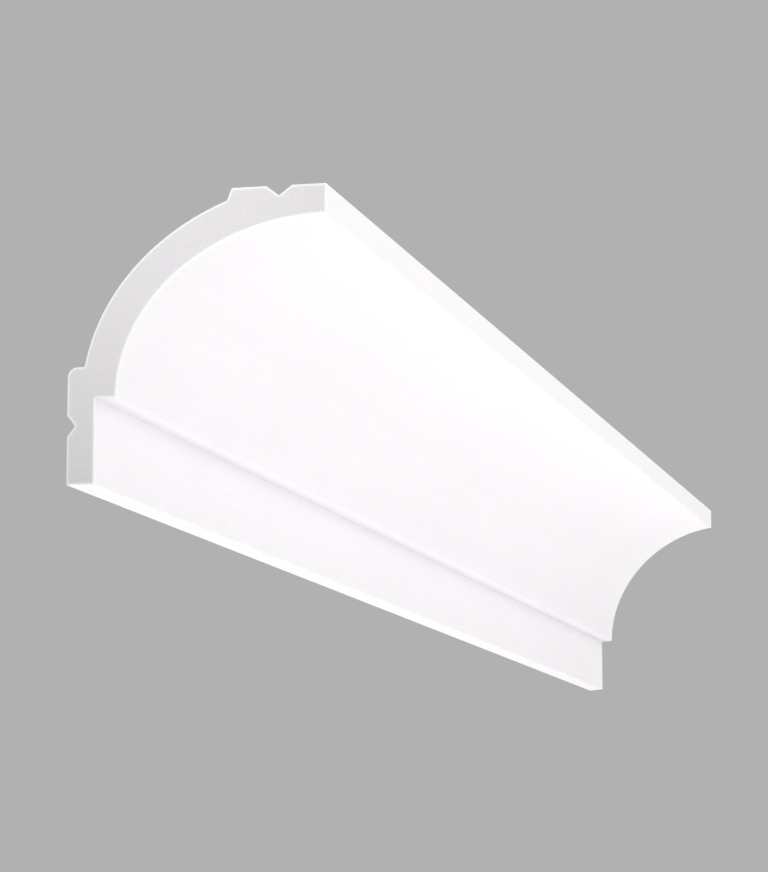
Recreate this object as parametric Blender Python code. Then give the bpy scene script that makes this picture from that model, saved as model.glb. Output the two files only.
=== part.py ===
"""One length of cove crown moulding, as it sits in the corner of a wall and a ceiling.

+X runs along the length, +Y points into the wall and +Z up to the ceiling.
The profile is drawn as (out, up): out from the wall's plane, up from the bottom edge.
The origin is on the face that is glued to the wall, on the strip below its glue groove.
"""

import math

import bmesh
import bpy
from mathutils import Matrix, Vector

# Overall sizes, in metres
LENGTH = 1.000  # along the wall, from the square end to the point of the mitre
HEIGHT = 0.100  # down the wall
PROJECTION = 0.091  # out along the ceiling
MITRE_ANGLE = math.radians(45)  # between the mitre and a square cut

# The face that shows
BAND_HEIGHT = 0.0295  # plain band below the cove
BAND_THICKNESS = 0.010
LEDGE_DEPTH = 0.0075  # how far the cove's lip overhangs the band
FILLET_HEIGHT = 0.0105  # upright face along the ceiling
ARRIS_RADIUS = 0.0006  # softening of the long outer edges

# The back
COVE_WALL = 0.0125  # thickness of the curved wall
WALL_SHOULDER_RISE = 0.0110  # top of the wall face above the lip
WALL_SHOULDER_RADIUS = 0.0035
CEILING_SHOULDER_DEPTH = 0.0043  # from the ceiling face down to the cove's back
CEILING_SHOULDER_SLOPE = 0.0017  # how far the shoulder leans out over that depth
INNER_RADIUS = 0.0008  # root of each shoulder
WALL_GROOVE_WIDTH = 0.0074  # glue grooves, V-shaped, in the middle of each glued face
WALL_GROOVE_DEPTH = 0.0028
CEILING_GROOVE_WIDTH = 0.0090
CEILING_GROOVE_DEPTH = 0.0034
GROOVE_RADIUS = 0.0004

# How finely the curves are cut, and how far tools run past the work
COVE_STEPS = 36
ARC_STEP = math.radians(18)
ROUNDING_SHARE = 0.95  # the most of a short stretch that the arcs at its two ends take up
CREASE_ANGLE = math.radians(30)  # steeper edges than this are shaded sharp
SAW_ALLOWANCE = 0.020  # stock beyond the mitre's point
CUTTER_MARGIN = 0.030
WELD_DISTANCE = 1e-6

# Places worked out from the sizes above
LIP_OUT = BAND_THICKNESS + LEDGE_DEPTH
COVE_WIDTH = PROJECTION - LIP_OUT
COVE_RISE = HEIGHT - FILLET_HEIGHT - BAND_HEIGHT
BACK_WIDTH = COVE_WIDTH + COVE_WALL
BACK_RISE = COVE_RISE + COVE_WALL
WALL_FACE_HEIGHT = BAND_HEIGHT + WALL_SHOULDER_RISE
MOUNT_UP = (WALL_FACE_HEIGHT - WALL_GROOVE_WIDTH) / 4  # middle of the strip below the groove


def cove_arc(width, rise, first, last):
    """Points of the elliptical cove, from angle first to angle last above the lip's level."""
    angles = [first + (last - first) * step / COVE_STEPS for step in range(COVE_STEPS + 1)]
    return [
        Vector((PROJECTION - width * math.cos(angle), BAND_HEIGHT + rise * math.sin(angle)))
        for angle in angles
    ]


def corner(out, up, radius=ARRIS_RADIUS):
    """One corner of the profile and the radius that rounds it."""
    return Vector((out, up)), radius


def on_curve(points):
    """Points of a curve, which need no rounding."""
    return [(point, 0.0) for point in points]


def front_face():
    """Corners from the wall's bottom edge, round the band, lip, cove and fillet, up to the ceiling."""
    fillet_bottom = HEIGHT - FILLET_HEIGHT
    cove = cove_arc(COVE_WIDTH, COVE_RISE, 0.0, math.pi / 2)
    return [
        corner(0.0, 0.0),
        corner(BAND_THICKNESS, 0.0),
        corner(BAND_THICKNESS, BAND_HEIGHT),
        corner(LIP_OUT, BAND_HEIGHT),
        *on_curve(cove[1:-1]),
        corner(PROJECTION, fillet_bottom),
        corner(PROJECTION, HEIGHT),
    ]


def back_face():
    """Corners from the ceiling, over the shoulders and the cove's back, down the wall face."""
    back_top = min(HEIGHT - BAND_HEIGHT, BACK_RISE)  # above the lip: the ceiling, or a thin wall's crest
    ceiling_angle = math.asin((back_top - CEILING_SHOULDER_DEPTH) / BACK_RISE)
    wall_angle = math.asin(WALL_SHOULDER_RISE / BACK_RISE)
    arc = cove_arc(BACK_WIDTH, BACK_RISE, ceiling_angle, wall_angle)
    ceiling_end = arc[0].x + CEILING_SHOULDER_SLOPE
    ceiling_groove = (ceiling_end + PROJECTION) / 2
    wall_groove = WALL_FACE_HEIGHT / 2
    return [
        corner(ceiling_groove + CEILING_GROOVE_WIDTH / 2, HEIGHT, GROOVE_RADIUS),
        corner(ceiling_groove, HEIGHT - CEILING_GROOVE_DEPTH, GROOVE_RADIUS),
        corner(ceiling_groove - CEILING_GROOVE_WIDTH / 2, HEIGHT, GROOVE_RADIUS),
        corner(ceiling_end, HEIGHT),
        corner(*arc[0], INNER_RADIUS),
        *on_curve(arc[1:-1]),
        corner(*arc[-1], INNER_RADIUS),
        corner(0.0, WALL_FACE_HEIGHT, WALL_SHOULDER_RADIUS),
        corner(0.0, wall_groove + WALL_GROOVE_WIDTH / 2, GROOVE_RADIUS),
        corner(WALL_GROOVE_DEPTH, wall_groove, GROOVE_RADIUS),
        corner(0.0, wall_groove - WALL_GROOVE_WIDTH / 2, GROOVE_RADIUS),
    ]


def rounded(before, here, after):
    """The arc that rounds one corner. Two corners share the stretch between them by their radii."""
    (start, start_radius), (point, radius), (end, end_radius) = before, here, after
    if radius == 0.0:
        return [point]
    to_start, to_end = start - point, end - point
    half_angle = to_start.angle(to_end) / 2
    room = min(
        to_start.length * radius / (radius + start_radius),
        to_end.length * radius / (radius + end_radius),
    )
    trim = min(radius / math.tan(half_angle), ROUNDING_SHARE * room)
    reach = trim / math.cos(half_angle)
    centre = point + (to_start.normalized() + to_end.normalized()).normalized() * reach
    spoke = point + to_start.normalized() * trim - centre
    turn = math.copysign(math.pi - 2 * half_angle, to_end.cross(to_start))
    steps = math.ceil(abs(turn) / ARC_STEP)
    return [centre + Matrix.Rotation(turn * step / steps, 2) @ spoke for step in range(steps + 1)]


def profile():
    """The closed outline of the moulding, with every corner rounded."""
    corners = front_face() + back_face()
    outline = []
    for index, here in enumerate(corners):
        outline += rounded(corners[index - 1], here, corners[(index + 1) % len(corners)])
    return outline


def collection(name):
    """A new collection in the scene."""
    made = bpy.data.collections.new(name)
    bpy.context.scene.collection.children.link(made)
    return made


def white_material():
    """Factory-primed rigid foam: matt white."""
    material = bpy.data.materials.new("primed_white")
    material.use_nodes = True
    shader = material.node_tree.nodes["Principled BSDF"]
    shader.inputs["Base Color"].default_value = (0.86, 0.85, 0.86, 1.0)
    shader.inputs["Roughness"].default_value = 0.6
    shader.inputs["Metallic"].default_value = 0.0
    return material


def extruded_stock(outline, into):
    """The profile run out along X, square at both ends and longer than the wall by the saw's allowance."""
    curve = bpy.data.curves.new("profile", "CURVE")
    curve.dimensions = "2D"
    curve.fill_mode = "BOTH"
    curve.extrude = (LENGTH + SAW_ALLOWANCE) / 2
    spline = curve.splines.new("POLY")
    spline.points.add(len(outline) - 1)
    for point, (out, up) in zip(spline.points, outline):
        point.co = (out, up, 0.0, 1.0)
    spline.use_cyclic_u = True

    drawn = bpy.data.objects.new("profile_drawn", curve)
    into.objects.link(drawn)
    drawn.location = (SAW_ALLOWANCE / 2, 0.0, -MOUNT_UP)
    drawn.rotation_euler = (math.pi / 2, 0.0, -math.pi / 2)  # out to -Y, up to +Z
    bpy.context.view_layer.update()

    graph = bpy.context.evaluated_depsgraph_get()
    mesh = bpy.data.meshes.new_from_object(drawn.evaluated_get(graph))
    welded = bmesh.new()
    welded.from_mesh(mesh)
    bmesh.ops.remove_doubles(welded, verts=welded.verts, dist=WELD_DISTANCE)
    bmesh.ops.recalc_face_normals(welded, faces=welded.faces)
    welded.to_mesh(mesh)
    welded.free()

    stock = bpy.data.objects.new("crown_moulding_length", mesh)
    into.objects.link(stock)
    stock.matrix_world = drawn.matrix_world
    bpy.data.objects.remove(drawn)
    return stock


def mitre_cutter(into):
    """A block whose one face lies on the mitre, through the point where the length meets the next wall."""
    side = 2 * (PROJECTION / math.cos(MITRE_ANGLE) + HEIGHT + CUTTER_MARGIN)
    bpy.ops.mesh.primitive_cube_add(size=side)
    cutter = bpy.context.object
    cutter.name = "mitre_cutter"
    outwards = Vector((math.cos(MITRE_ANGLE), -math.sin(MITRE_ANGLE), 0.0))
    cutter.location = Vector((LENGTH / 2, 0.0, 0.0)) + outwards * side / 2
    cutter.rotation_euler.z = -MITRE_ANGLE
    cutter.display_type = "WIRE"
    cutter.hide_render = True
    for holder in list(cutter.users_collection):
        holder.objects.unlink(cutter)
    into.objects.link(cutter)
    return cutter


def crown_moulding():
    """The finished length: the stock with one end mitred for an inside corner."""
    length = extruded_stock(profile(), collection("crown_moulding"))
    length.data.materials.clear()
    length.data.materials.append(white_material())
    length.data.shade_smooth()
    length.data.set_sharp_from_angle(angle=CREASE_ANGLE)
    mitre = length.modifiers.new("mitre", "BOOLEAN")
    mitre.operation = "DIFFERENCE"
    mitre.solver = "EXACT"
    mitre.object = mitre_cutter(collection("cutters"))
    return length


for leftover in list(bpy.data.objects):
    bpy.data.objects.remove(leftover)
crown_moulding()
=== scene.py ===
import math

import bpy
import numpy as np
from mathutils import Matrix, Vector


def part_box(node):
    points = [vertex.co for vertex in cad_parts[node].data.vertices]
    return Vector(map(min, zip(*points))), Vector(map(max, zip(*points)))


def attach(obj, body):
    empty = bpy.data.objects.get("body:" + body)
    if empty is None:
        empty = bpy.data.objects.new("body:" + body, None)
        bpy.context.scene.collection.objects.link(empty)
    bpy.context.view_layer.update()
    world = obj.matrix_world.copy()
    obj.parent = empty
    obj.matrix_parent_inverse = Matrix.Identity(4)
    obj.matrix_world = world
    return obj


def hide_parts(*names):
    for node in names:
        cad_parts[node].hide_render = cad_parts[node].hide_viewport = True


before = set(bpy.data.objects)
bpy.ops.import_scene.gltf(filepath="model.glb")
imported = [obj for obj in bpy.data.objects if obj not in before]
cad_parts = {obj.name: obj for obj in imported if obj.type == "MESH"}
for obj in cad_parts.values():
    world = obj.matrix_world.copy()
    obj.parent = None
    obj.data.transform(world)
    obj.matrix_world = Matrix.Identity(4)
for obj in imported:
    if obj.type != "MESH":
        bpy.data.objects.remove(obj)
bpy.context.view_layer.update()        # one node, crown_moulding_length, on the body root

mm = 0.001
tiny = 1e-6  # mm or radians, taken as nothing
low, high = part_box("crown_moulding_length")
print("frame loaded: the moulding is", [round(side / mm) for side in high - low], "mm")


# The profile in mm, as (out, up): out from the wall, up from the bottom edge

profile = {
    "bandHeight": 29.5,
    "bandThickness": 10.0,
    "ledgeDepth": 7.5,
    "filletHeight": 10.5,
    "coveWall": 12.5,  # thickness behind the cove
    "wallShoulderRise": 11.0,  # above the lip
    "ceilingShoulderDepth": 4.3,
    "ceilingShoulderSlope": 1.7,
    "wallGroove": (7.4, 2.8),  # mouth and depth of the glue grooves
    "ceilingGroove": (9.0, 3.4),
    "arris": 0.6,  # radius, as are the next three
    "wallShoulderArris": 3.5,
    "shoulderRoot": 0.8,
    "groove": 0.4,
    "ovalStep": 1.2,  # between points of the cove
    "arcPoints": 9,  # round one corner
    "cornerRoom": 1.6,  # from the cove's two corners to its next points
    "ringRoom": 0.7,  # of a corner's radius, the most that a ring on a cut follows its arc
}
projection, height = (high.y - low.y) / mm, (high.z - low.z) / mm


def ovalArc(width, rise, first, last):
    # quarter oval about the point below the ceiling edge at the lip's level:
    # out = projection - width cos a, up = band height + rise sin a
    points = round(abs(last - first) * max(width, rise) / profile["ovalStep"])
    a = np.linspace(first, last, points)
    out, up = projection - width * np.cos(a), profile["bandHeight"] + rise * np.sin(a)
    return np.stack([out, up, 0 * a], 1)


def profileCorners():
    # corners as (out, up, radius), from the bottom edge at the wall face, round the front and home
    # along the back; with them, the number of the corner where the front ends
    band, thick = profile["bandHeight"], profile["bandThickness"]
    lip, foot = thick + profile["ledgeDepth"], height - profile["filletHeight"]
    wide, tall = projection - lip, foot - band
    backWide, backTall = wide + profile["coveWall"], tall + profile["coveWall"]
    edge, groove, root = profile["arris"], profile["groove"], profile["shoulderRoot"]
    clear = profile["cornerRoom"] / tall
    cove = ovalArc(wide, tall, clear, math.pi / 2 - clear)
    crest = height - profile["ceilingShoulderDepth"] - band
    back = ovalArc(backWide, backTall, math.asin(crest / backTall),
                   math.asin(profile["wallShoulderRise"] / backTall))
    back[[0, -1], 2] = root
    wallTop = band + profile["wallShoulderRise"]
    ceilingEnd = back[0, 0] + profile["ceilingShoulderSlope"]
    outMiddle, upMiddle = (ceilingEnd + projection) / 2, wallTop / 2
    outMouth, outDepth = profile["ceilingGroove"]
    upMouth, upDepth = profile["wallGroove"]
    return np.concatenate([
        [(0, 0, edge), (thick, 0, edge), (thick, band, edge), (lip, band, edge)],
        cove,
        [(projection, foot, edge), (projection, height, edge),
         (outMiddle + outMouth / 2, height, groove), (outMiddle, height - outDepth, groove),
         (outMiddle - outMouth / 2, height, groove), (ceilingEnd, height, edge)],
        back,
        [(0, wallTop, profile["wallShoulderArris"]), (0, upMiddle + upMouth / 2, groove),
         (upDepth, upMiddle, groove), (0, upMiddle - upMouth / 2, groove)],
    ]), 5 + len(cove)


def roundedOutline(corners):
    # each corner turns into an arc: its centre is radius / sin(half) along the bisector, and the
    # spoke swings from one tangent point to the other; a corner of radius 0 gives its own point,
    # repeated; with each point go how deep a ring may follow the arc, and the way in past that
    point, radius = corners[:, :2], corners[:, 2:]
    before, after = np.roll(point, 1, 0) - point, np.roll(point, -1, 0) - point
    before /= np.linalg.norm(before, axis=1, keepdims=True)
    after /= np.linalg.norm(after, axis=1, keepdims=True)
    half = np.arccos(np.clip((before * after).sum(1, keepdims=True), -1, 1)) / 2
    bisector = before + after
    bisector /= np.maximum(np.linalg.norm(bisector, axis=1, keepdims=True), tiny)
    centre = point + bisector * radius / np.sin(half)
    start, end = (point + side * radius / np.tan(half) - centre for side in (before, after))
    turn = np.maximum(math.pi - 2 * half, tiny)[:, None]
    share = np.linspace(0, 1, profile["arcPoints"])[None, :, None]
    spoke = np.sin((1 - share) * turn) * start[:, None] + np.sin(share * turn) * end[:, None]
    convex = before[:, 0] * after[:, 1] < before[:, 1] * after[:, 0]
    room = np.where(convex & (radius[:, 0] > 0), profile["ringRoom"] * radius[:, 0], np.inf)
    arcs = (centre[:, None] + spoke / np.sin(turn)).reshape(-1, 2)
    perCorner = (room, bisector / np.sin(half))
    return [arcs] + [np.repeat(value, profile["arcPoints"], 0) for value in perCorner]


corners, ceilingEdge = profileCorners()
outline, room, inwards = roundedOutline(corners)

# how far behind the front's two edges each point lies, walked along the outline
step = np.linalg.norm(outline - np.roll(outline, 1, 0), axis=1)
walked = np.cumsum(step) - step[0]
edgeAt = walked[ceilingEdge * profile["arcPoints"] + profile["arcPoints"] // 2]
behind = np.where(walked > edgeAt, np.minimum(walked - edgeAt, step.sum() - walked), 0)
fresh = step > tiny
outline, room, inwards, behind = outline[fresh], room[fresh], inwards[fresh], behind[fresh]
print("profile drawn with", len(outline), "points")


# The moulding: the profile carried along the wall, closed by a square cut and a mitre

moulding = {
    "stations": 48,  # along the length
    "mitre": math.radians(45),
    "wornEdge": 0.35,  # mm, radius that the primer and handling leave on a saw cut's edge
    "wornSteps": 5,
    "rings": (1.4, 1.1, 0.8, 0.6),  # mm in from the skin, on each cut
    "flatWeight": 100,  # how strongly large flat faces keep their own direction when shaded
}


def carriedProfile():
    # station j is the outline drawn in by depth j along its normal, and past a corner's radius
    # along the bisector; its x runs from the square cut to the mitre, whose plane comes back by
    # one mm for each mm out from the wall face, both set back by what the worn edge takes off
    worn = moulding["wornEdge"]
    swing = np.linspace(0, math.pi / 2, moulding["wornSteps"])
    cutDepth = np.concatenate([moulding["rings"], worn * (1 - np.sin(swing))])
    cutBack = np.concatenate([0 * np.array(moulding["rings"]), worn * (1 - np.cos(swing))])
    along = np.linspace(0, 1, moulding["stations"])[1:-1]
    depth = np.concatenate([cutDepth, 0 * along, cutDepth[::-1]])
    setBack = np.concatenate([cutBack, 0 * along + worn, cutBack[::-1]])
    share = np.concatenate([0 * cutDepth, along, 0 * cutDepth + 1])
    run = np.roll(outline, -1, 0) - np.roll(outline, 1, 0)
    normal = np.stack([run[:, 1], -run[:, 0]], 1) / np.linalg.norm(run, axis=1)[:, None]
    shallow = np.minimum(depth[:, None], room)
    rest = depth[:, None] - shallow
    drawn = outline - normal * shallow[..., None] + inwards * rest[..., None]
    out, up = drawn[..., 0], drawn[..., 1]
    slope, lean = math.tan(moulding["mitre"]), math.cos(moulding["mitre"])
    x = (1 - share[:, None]) * (low.x / mm + setBack[:, None])
    x = x + share[:, None] * (high.x / mm - out * slope - setBack[:, None] / lean)
    place = np.stack([x, high.y / mm - out, low.z / mm + up], -1) * mm
    return place, depth, len(cutDepth)


def tubeMesh(name, place, cutStations):
    # quads between neighbouring stations, and one flat face inside the last ring of each cut
    stations, around = place.shape[:2]
    index = np.arange(stations * around).reshape(stations, around)
    here, there = index[:-1], index[1:]
    quads = np.stack([here, there, np.roll(there, -1, 1), np.roll(here, -1, 1)], -1).reshape(-1, 4)
    mesh = bpy.data.meshes.new(name)
    ends = [index[0].tolist(), index[-1, ::-1].tolist()]
    mesh.from_pydata(place.reshape(-1, 3), [], quads.tolist() + ends)
    onCut = np.ones(stations - 1, int)
    onCut[cutStations - 1:1 - cutStations] = 0
    faceMaterial = np.append(np.repeat(onCut, around), [1, 1])  # 0 primed, 1 sawn
    mesh.polygons.foreach_set("material_index", faceMaterial)
    mesh.shade_smooth()
    return mesh


def pointAttribute(mesh, name, values):
    # one number for each vertex, in the order of the vertices
    attribute = mesh.attributes.new(name, "FLOAT", "POINT")
    attribute.data.foreach_set("value", values.astype(np.float32).ravel())


place, depth, cutStations = carriedProfile()
mouldingMesh = tubeMesh("coveMoulding", place, cutStations)
pointAttribute(mouldingMesh, "inFromSkin", np.repeat(depth, len(outline)))  # mm
pointAttribute(mouldingMesh, "behindEdge", np.tile(behind, len(depth)))  # mm
coveMoulding = bpy.data.objects.new("coveMoulding", mouldingMesh)
bpy.context.scene.collection.objects.link(coveMoulding)
evenShading = coveMoulding.modifiers.new("evenShading", "WEIGHTED_NORMAL")
evenShading.weight = moulding["flatWeight"]
print("moulding made with", len(mouldingMesh.polygons), "faces")


# Materials

def linear(hexColour):
    # sRGB to linear: below 0.04045 a straight line, above it a power of 2.4
    channels = [int(hexColour[i:i + 2], 16) / 255 for i in (1, 3, 5)]
    return [c / 12.92 if c <= 0.04045 else ((c + 0.055) / 1.055) ** 2.4 for c in channels] + [1]


def addNode(tree, kind, inputs=None, **settings):
    # a node with its settings; an input is a value, or another node's output to link from
    node = tree.nodes.new(kind)
    for key, value in settings.items():
        setattr(node, key, value)
    for key, value in (inputs or {}).items():
        if isinstance(value, bpy.types.NodeSocket):
            tree.links.new(value, node.inputs[key])
        else:
            node.inputs[key].default_value = value
    return node


def newMaterial(name):
    # a node material, with its tree and its shader
    material = bpy.data.materials.new(name)
    material.use_nodes = True
    tree = material.node_tree
    return material, tree, tree.nodes["Principled BSDF"]


# Factory primer: matt acrylic, sprayed on the extruded front. The eye gets an even, slightly cool
# white with a soft sheen, a faint orange peel, and under it the long shallow lines that the
# extruder's die leaves. The spray stops a few mm round the edges, and behind them the bare
# polystyrene skin is a shade warmer and glossier.
primer = {
    "white": "#F8F5F8",
    "thin": "#F4F1F4",  # where the coat is thinnest
    "bareSkin": "#EFEDEC",
    "coatPatch": 70,  # mm
    "fullCoat": 0.5,  # patch noise times line noise from which the coat is at its whitest
    "peel": (2.2, 0.22),  # mm: size, height; real peel is some 0.01 high, drawn higher to show
    "dieLine": (1.6, 400, 0.04),  # mm: width, length, height; drawn wider than real ones, to show
    "octaves": (3, 2, 1),  # layers of finer noise on the patches, the die lines and the peel
    "overspray": (0.5, 3.5),  # mm behind the edge, from where the coat thins to where it ends
    "oversprayWander": 2.0,  # mm
    "roughness": (0.62, 0.40),  # primed, bare
    "ior": 1.48,
}


def primedFoam():
    # colour = white where patch noise times line noise is high, thin coat where it is low, and
    # bare skin where the distance behind the edge, plus twice the wander times the patch noise,
    # is past the overspray; bump = the die lines, with the peel on them
    material, tree, shader = newMaterial("sprayedPrimerOnExtrudedPolystyrene")
    patchOctaves, lineOctaves, peelOctaves = primer["octaves"]
    place = addNode(tree, "ShaderNodeTexCoord").outputs["Object"]
    patch = addNode(tree, "ShaderNodeTexNoise", {
        "Vector": place, "Scale": 1 / (primer["coatPatch"] * mm),
        "Detail": patchOctaves}).outputs["Fac"]
    behindEdge = addNode(tree, "ShaderNodeAttribute", attribute_name="behindEdge").outputs["Fac"]
    wander = addNode(tree, "ShaderNodeMath", {
        0: patch, 1: 2 * primer["oversprayWander"], 2: behindEdge},
        operation="MULTIPLY_ADD").outputs[0]
    first, last = primer["overspray"]
    bare = addNode(tree, "ShaderNodeMapRange", {
        "Value": wander, "From Min": first + primer["oversprayWander"],
        "From Max": last + primer["oversprayWander"]},
        interpolation_type="SMOOTHSTEP").outputs["Result"]
    width, length, lineHeight = primer["dieLine"]
    drawn = addNode(tree, "ShaderNodeMapping", {
        "Vector": place, "Scale": (1 / (length * mm), 1 / (width * mm), 1 / (width * mm))})
    lines = addNode(tree, "ShaderNodeTexNoise", {
        "Vector": drawn.outputs["Vector"], "Scale": 1, "Detail": lineOctaves}).outputs["Fac"]
    cover = addNode(tree, "ShaderNodeMath", {0: patch, 1: lines}, operation="MULTIPLY")
    coatShare = addNode(tree, "ShaderNodeMapRange", {
        "Value": cover.outputs[0], "From Max": primer["fullCoat"]})
    coat = addNode(tree, "ShaderNodeMix", {
        "Factor": coatShare.outputs["Result"], "A": linear(primer["thin"]),
        "B": linear(primer["white"])}, data_type="RGBA")
    colour = addNode(tree, "ShaderNodeMix", {
        "Factor": bare, "A": coat.outputs["Result"],
        "B": linear(primer["bareSkin"])}, data_type="RGBA")
    roughness = addNode(tree, "ShaderNodeMapRange", {
        "Value": bare, "To Min": primer["roughness"][0], "To Max": primer["roughness"][1]})
    peelSize, peelHeight = primer["peel"]
    peel = addNode(tree, "ShaderNodeTexNoise", {
        "Vector": place, "Scale": 1 / (peelSize * mm), "Detail": peelOctaves})
    lined = addNode(tree, "ShaderNodeBump", {"Height": lines, "Distance": lineHeight * mm})
    peeled = addNode(tree, "ShaderNodeBump", {
        "Height": peel.outputs["Fac"], "Distance": peelHeight * mm,
        "Normal": lined.outputs["Normal"]})
    tree.links.new(colour.outputs["Result"], shader.inputs["Base Color"])
    tree.links.new(roughness.outputs["Result"], shader.inputs["Roughness"])
    tree.links.new(peeled.outputs["Normal"], shader.inputs["Normal"])
    shader.inputs["IOR"].default_value = primer["ior"]
    return material


# Rigid polystyrene foam, sawn across: a flat, light grey white. Its closed cells show as a fine
# grain, with painted shade in each cell's hollow, and the round blade leaves faint arcs. Along the
# edge runs the line of solid skin and primer, which stays white; it is drawn wider than the real
# skin, so it is also a painted highlight along the cut's edge.
cutFoam = {
    "foam": "#EBE8EB",
    # painted shade in each cell's hollow
    "cellHollowShade": "#E6E3E6",
    # white skin and primer, which also serves as a painted highlight along the cut's edge
    "skinAndPaintedHighlight": "#FBF9FB",
    "whiteRimLine": (0.65, 0.95),  # mm in from the surface: the white rim of skin and painted highlight ends, the foam begins
    "cell": (0.9, 0.03),  # mm: size, depth; real cells are about 0.2, drawn coarser to show
    "cellRim": (0.1, 0.6),  # of the cell size, from a cell's hollow to its rim
    "bladeCentre": (-30, -118),  # mm, as y and z
    "bladeMark": (1.4, 0.055),  # mm: spacing, depth
    "bladeWander": (1.5, 2, 0.02),  # strength, octaves and scale of the noise that bends the arcs
    "roughness": (0.75, 0.5),  # foam, skin
    "ior": 1.5,
}


def sawnFoam():
    # colour = skin white, partly a painted highlight, out to the white rim line, then painted
    # shade in each cell's hollow to foam by the distance from each cell's middle; bump = rings
    # about the blade's centre, with the cells on them, both only inside the white rim line; a wave
    # of scale s has its rings pi / (10 s) apart
    material, tree, shader = newMaterial("sawnPolystyreneFoam")
    place = addNode(tree, "ShaderNodeTexCoord").outputs["Object"]
    cellSize, cellDepth = cutFoam["cell"]
    cell = addNode(tree, "ShaderNodeTexVoronoi", {"Vector": place, "Scale": 1 / (cellSize * mm)})
    hollow = addNode(tree, "ShaderNodeMapRange", {
        "Value": cell.outputs["Distance"], "From Min": cutFoam["cellRim"][0],
        "From Max": cutFoam["cellRim"][1]}).outputs["Result"]
    # painted shade: darker towards each cell's middle, where the bump sinks its hollow
    foam = addNode(tree, "ShaderNodeMix", {
        "Factor": hollow, "A": linear(cutFoam["cellHollowShade"]),
        "B": linear(cutFoam["foam"])}, data_type="RGBA")
    markSpacing, markDepth = cutFoam["bladeMark"]
    bend, bendOctaves, bendScale = cutFoam["bladeWander"]
    y, z = cutFoam["bladeCentre"]
    aboutBlade = addNode(tree, "ShaderNodeMapping", {
        "Vector": place, "Location": (0, -y * mm, -z * mm)})
    marks = addNode(tree, "ShaderNodeTexWave", {
        "Vector": aboutBlade.outputs["Vector"], "Scale": math.pi / 10 / (markSpacing * mm),
        "Distortion": bend, "Detail": bendOctaves, "Detail Scale": bendScale},
        wave_type="RINGS", rings_direction="X").outputs["Fac"]
    inFromSkin = addNode(tree, "ShaderNodeAttribute", attribute_name="inFromSkin").outputs["Fac"]
    inside = addNode(tree, "ShaderNodeMapRange", {
        "Value": inFromSkin, "From Min": cutFoam["whiteRimLine"][0],
        "From Max": cutFoam["whiteRimLine"][1]}).outputs["Result"]
    # the white rim: real skin and primer, and also a painted highlight along the cut's edge
    colour = addNode(tree, "ShaderNodeMix", {
        "Factor": inside, "A": linear(cutFoam["skinAndPaintedHighlight"]),
        "B": foam.outputs["Result"]}, data_type="RGBA")
    roughness = addNode(tree, "ShaderNodeMapRange", {
        "Value": inside, "To Min": cutFoam["roughness"][1], "To Max": cutFoam["roughness"][0]})
    marked = addNode(tree, "ShaderNodeBump", {
        "Height": marks, "Distance": markDepth * mm, "Strength": inside})
    pitted = addNode(tree, "ShaderNodeBump", {
        "Height": hollow, "Distance": cellDepth * mm, "Strength": inside,
        "Normal": marked.outputs["Normal"]})
    tree.links.new(colour.outputs["Result"], shader.inputs["Base Color"])
    tree.links.new(roughness.outputs["Result"], shader.inputs["Roughness"])
    tree.links.new(pitted.outputs["Normal"], shader.inputs["Normal"])
    shader.inputs["IOR"].default_value = cutFoam["ior"]
    return material


mouldingMesh.materials.append(primedFoam())
mouldingMesh.materials.append(sawnFoam())
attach(coveMoulding, "root")
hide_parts("crown_moulding_length")
print("materials done")


# The studio: pale light all round, and a wide painted floor, low enough to leave the underside
# open. Three soft lamps at rising heights keep the front even from band to cove, two from below
# reach the underside and the cove's top, one touches the square cut and one lights the back.

studio = {
    "floorLevel": -5.2,  # metres
    "floorRadius": 90,
    "floorRings": 12,
    "floorTurns": 96,
    "paint": "#FCFCFC",
    "paintRoughness": (0.85, 0.95),
    "paintCloud": (2.5, 2),  # metres across, octaves
    "world": ("#FAFAFA", 0.46),  # colour, strength
    "lights": {  # width and height in metres, place, aim, watts, spread in degrees
        "frontLow": (2.4, 1.1, (-0.3, -2.62, -0.38), (-0.1, -0.05, 0.04), 27, 180),
        "frontHigh": (2.4, 1.4, (-0.3, -2.4, 1.16), (-0.1, -0.05, 0.04), 18.5, 180),
        "frontTop": (2.4, 0.75, (-0.3, -1.43, 2.25), (-0.1, -0.05, 0.04), 13.5, 180),
        "fromBelow": (1.6, 0.6, (-0.1, 0.15, -2.5), (0.0, -0.05, 0.04), 28, 180),
        "behindBelow": (1.6, 1.3, (-0.1, 1.4, -2.1), (0.0, -0.05, 0.04), 18, 180),
        "cutEnd": (0.12, 0.12, (-1.6, 0.15, 0.06), (-0.5, -0.045, 0.105), 0.08, 20),
        "overhead": (2.2, 2.2, (0.6, 1.6, 2.0), (0.0, 0.0, 0.0), 50, 180),
    },
}


def floorMesh():
    # rings about the z axis whose radius doubles outwards, all at one level
    turns = studio["floorTurns"]
    r = studio["floorRadius"] * 0.5 ** np.arange(studio["floorRings"], -1, -1)
    around = np.linspace(0, 2 * math.pi, turns, endpoint=False)
    grid = np.stack([r[:, None] * np.cos(around), r[:, None] * np.sin(around),
                     np.full((len(r), turns), studio["floorLevel"])], -1)
    index = np.arange(len(r) * turns).reshape(len(r), turns)
    here, there = index[:-1], index[1:]
    quads = np.stack([here, there, np.roll(there, -1, 1), np.roll(here, -1, 1)], -1).reshape(-1, 4)
    mesh = bpy.data.meshes.new("studioFloor")
    mesh.from_pydata(grid.reshape(-1, 3), [], quads.tolist() + [index[0].tolist()])
    return mesh


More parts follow.
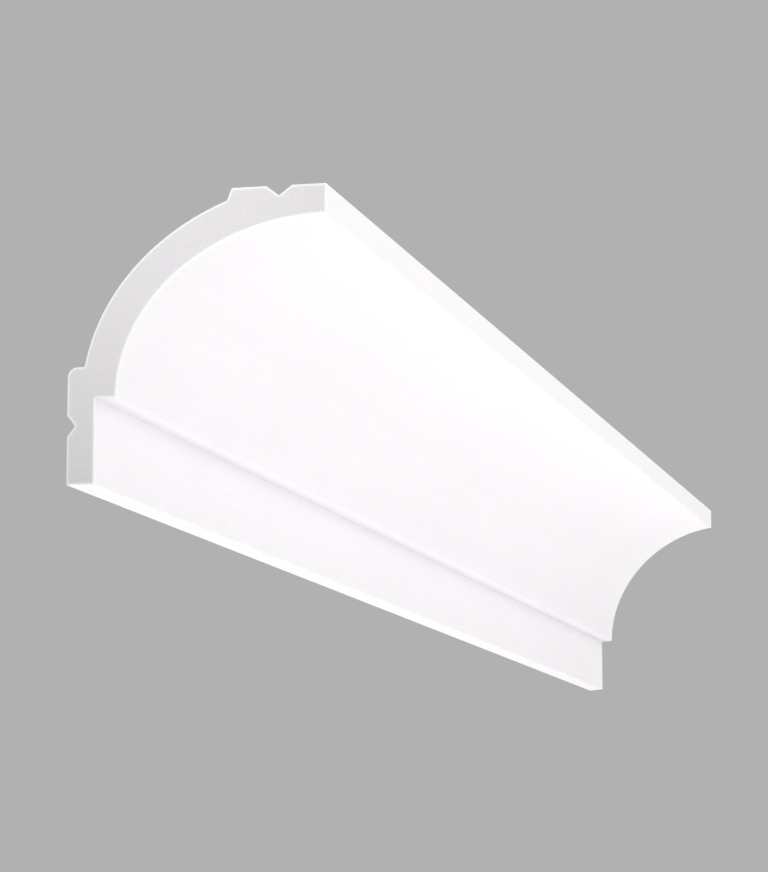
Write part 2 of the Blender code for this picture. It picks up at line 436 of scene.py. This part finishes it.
def paintedBoard():
    # one pale paint, whose roughness goes from the lower to the higher value with slow noise
    material, tree, shader = newMaterial("mattPaintedBoard")
    place = addNode(tree, "ShaderNodeTexCoord").outputs["Object"]
    cloudSize, cloudOctaves = studio["paintCloud"]
    cloud = addNode(tree, "ShaderNodeTexNoise", {
        "Vector": place, "Scale": 1 / cloudSize, "Detail": cloudOctaves}).outputs["Fac"]
    smooth, rough = studio["paintRoughness"]
    roughness = addNode(tree, "ShaderNodeMapRange", {
        "Value": cloud, "To Min": smooth, "To Max": rough})
    tree.links.new(roughness.outputs["Result"], shader.inputs["Roughness"])
    shader.inputs["Base Color"].default_value = linear(studio["paint"])
    return material


floor = bpy.data.objects.new("studioFloor", floorMesh())
floor.data.materials.append(paintedBoard())
bpy.context.scene.collection.objects.link(floor)


def facing(stand, aim):
    # the turn that points a lamp's or the camera's -z from where it stands to its aim, y upwards
    return (Vector(aim) - Vector(stand)).to_track_quat("-Z", "Y").to_euler()


for name, (width, tall, stand, aim, watts, spread) in studio["lights"].items():
    lamp = bpy.data.lights.new(name, "AREA")
    lamp.shape = "RECTANGLE"
    lamp.size, lamp.size_y, lamp.energy, lamp.spread = width, tall, watts, math.radians(spread)
    light = bpy.data.objects.new(name, lamp)
    light.location = stand
    light.rotation_euler = facing(stand, aim)
    light.visible_camera = False
    bpy.context.scene.collection.objects.link(light)

world = bpy.data.worlds.new("paleStudio")
world.use_nodes = True
sky = world.node_tree.nodes["Background"].inputs
skyColour, skyStrength = studio["world"]
sky["Color"].default_value, sky["Strength"].default_value = linear(skyColour), skyStrength
bpy.context.scene.world = world
bpy.context.scene.view_settings.view_transform = "Standard"
print("studio lit")


# The camera stands low and a little out in front, and looks up along the moulding from its square
# end. Places are in metres, the lens and its sensor in mm.

view = {
    "place": (-1.565, -0.370, -0.158),
    "aim": (-0.250, -0.050, 0.043),
    "lens": 138,
    "sensor": 36,
}

camera = bpy.data.objects.new("camera", bpy.data.cameras.new("camera"))
camera.data.lens, camera.data.sensor_width = view["lens"], view["sensor"]
camera.location = view["place"]
camera.rotation_euler = facing(view["place"], view["aim"])
bpy.context.scene.collection.objects.link(camera)
bpy.context.scene.camera = camera
print("camera placed")
